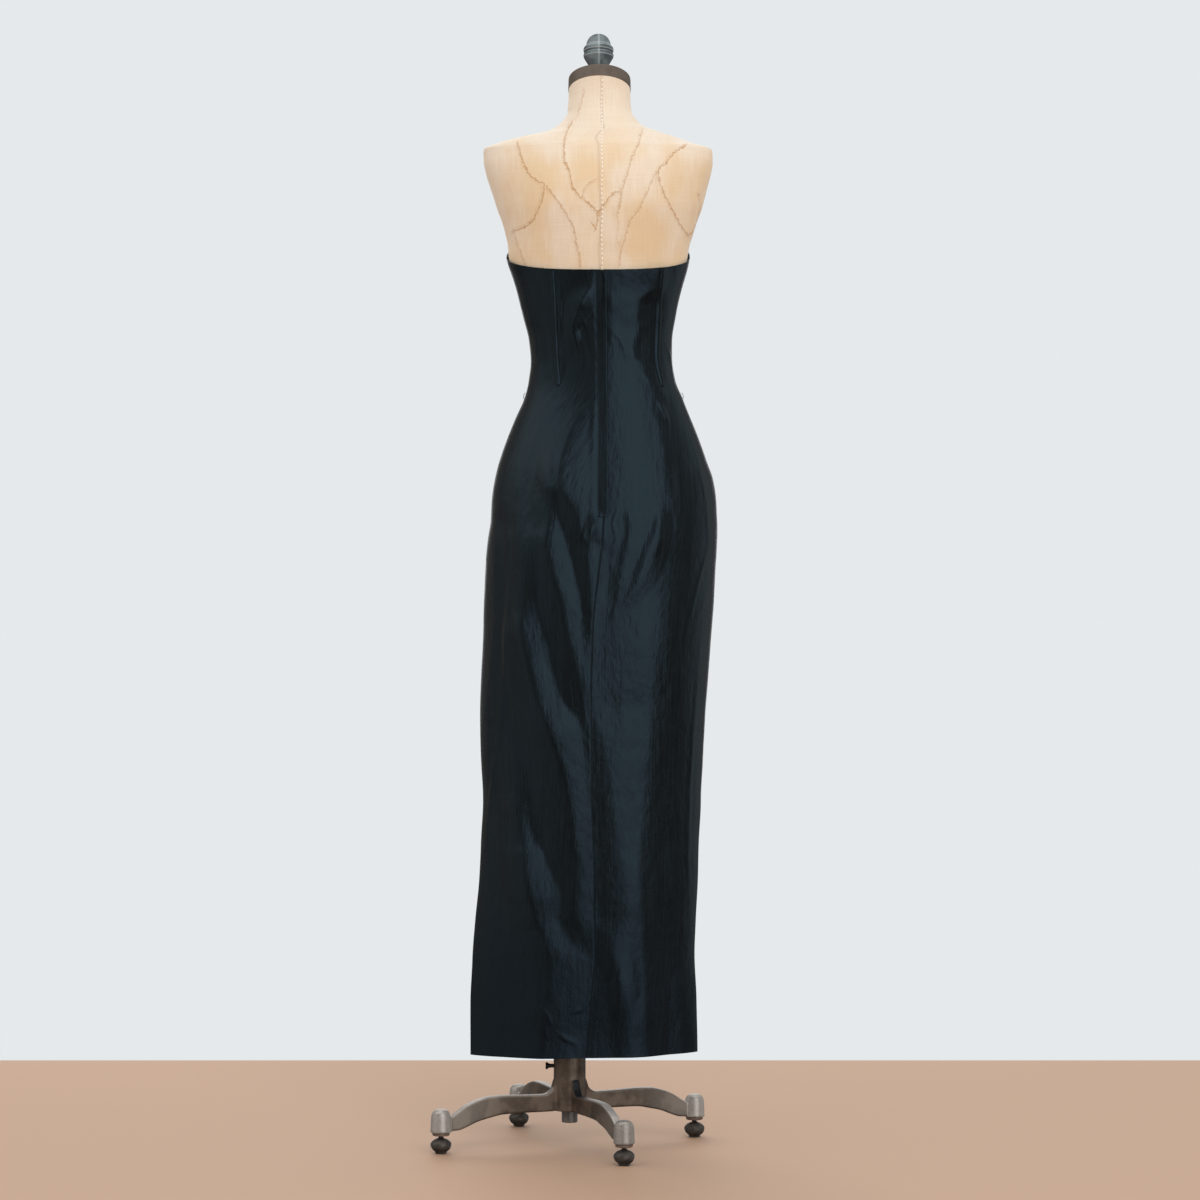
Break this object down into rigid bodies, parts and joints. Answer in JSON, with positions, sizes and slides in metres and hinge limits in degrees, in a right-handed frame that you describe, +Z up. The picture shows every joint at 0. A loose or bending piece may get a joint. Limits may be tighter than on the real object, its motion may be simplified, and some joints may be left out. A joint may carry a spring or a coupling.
{
  "type": "evening gown on a dress form",
  "caption": "Strapless column evening gown with a lapped centre-back zip, worn by a linen dress form on a four-legged castor stand.",
  "frame": {"origin": "on the floor, under the middle of the whole object's bounding box", "axes": "+Z up, +Y towards the gown's front, -Y towards its zipped back, +X towards the wearer's right"},
  "size_m": [0.4547, 0.437, 1.7833],
  "materials": {
    "gown_faille": "satin",
    "zip_coil": "matte",
    "zip_metal": "satin",
    "form_linen": "matte",
    "plate_wood": "satin",
    "cap_metal": "satin",
    "finial_metal": "satin",
    "post_steel": "satin",
    "stand_iron": "satin",
    "castor_metal": "satin",
    "black_screw": "satin"
  },
  "bodies": {
    "stand": {"hub": "stand_iron", "leg_a": "stand_iron", "leg_b": "stand_iron", "leg_c": "stand_iron", "leg_d": "stand_iron", "foot_socket_a": "stand_iron", "foot_socket_b": "stand_iron", "foot_socket_c": "stand_iron", "foot_socket_d": "stand_iron", "foot_collar_a": "castor_metal", "foot_collar_b": "castor_metal", "foot_collar_c": "castor_metal", "foot_collar_d": "castor_metal"},
    "mast": {"post": "post_steel", "post_flange": "stand_iron"},
    "figure": {"gown_front": "gown_faille", "gown_back_left": "gown_faille", "gown_back_right": "gown_faille", "bone_channel_left": "gown_faille", "bone_channel_right": "gown_faille", "zip_lap": "gown_faille", "zip_chain": "zip_coil", "zip_slider": "zip_metal", "form_torso": "form_linen", "form_base_plate": "plate_wood", "neck_cap": "cap_metal", "finial": "finial_metal"},
    "screw": {"thumbscrew": "black_screw"},
    "roller_a": {"castor_a": "castor_metal"},
    "roller_b": {"castor_b": "castor_metal"},
    "roller_c": {"castor_c": "castor_metal"},
    "roller_d": {"castor_d": "castor_metal"}
  },
  "joints": [
    {"name": "post_height", "type": "slide", "parent": "stand", "child": "mast", "axis": [0, 0, 1], "range_m": [-0.03, 0.07]},
    {"name": "form_turn", "type": "hinge", "parent": "mast", "child": "figure", "pos_m": [-0.0086, 0, 0.915], "axis": [0, 0, 1], "continuous": true},
    {"name": "screw_turn", "type": "hinge", "parent": "stand", "child": "screw", "pos_m": [-0.0381, 0, 0.127], "axis": [-1, 0, 0], "continuous": true},
    {"name": "castor_a_swivel", "type": "hinge", "parent": "stand", "child": "roller_a", "pos_m": [-0.21056, -0.08573, 0.014], "axis": [0, 0, 1], "continuous": true},
    {"name": "castor_b_swivel", "type": "hinge", "parent": "stand", "child": "roller_b", "pos_m": [0.07713, -0.20196, 0.014], "axis": [0, 0, 1], "continuous": true},
    {"name": "castor_c_swivel", "type": "hinge", "parent": "stand", "child": "roller_c", "pos_m": [0.19336, 0.08573, 0.014], "axis": [0, 0, 1], "continuous": true},
    {"name": "castor_d_swivel", "type": "hinge", "parent": "stand", "child": "roller_d", "pos_m": [-0.09433, 0.20196, 0.014], "axis": [0, 0, 1], "continuous": true}
  ]
}
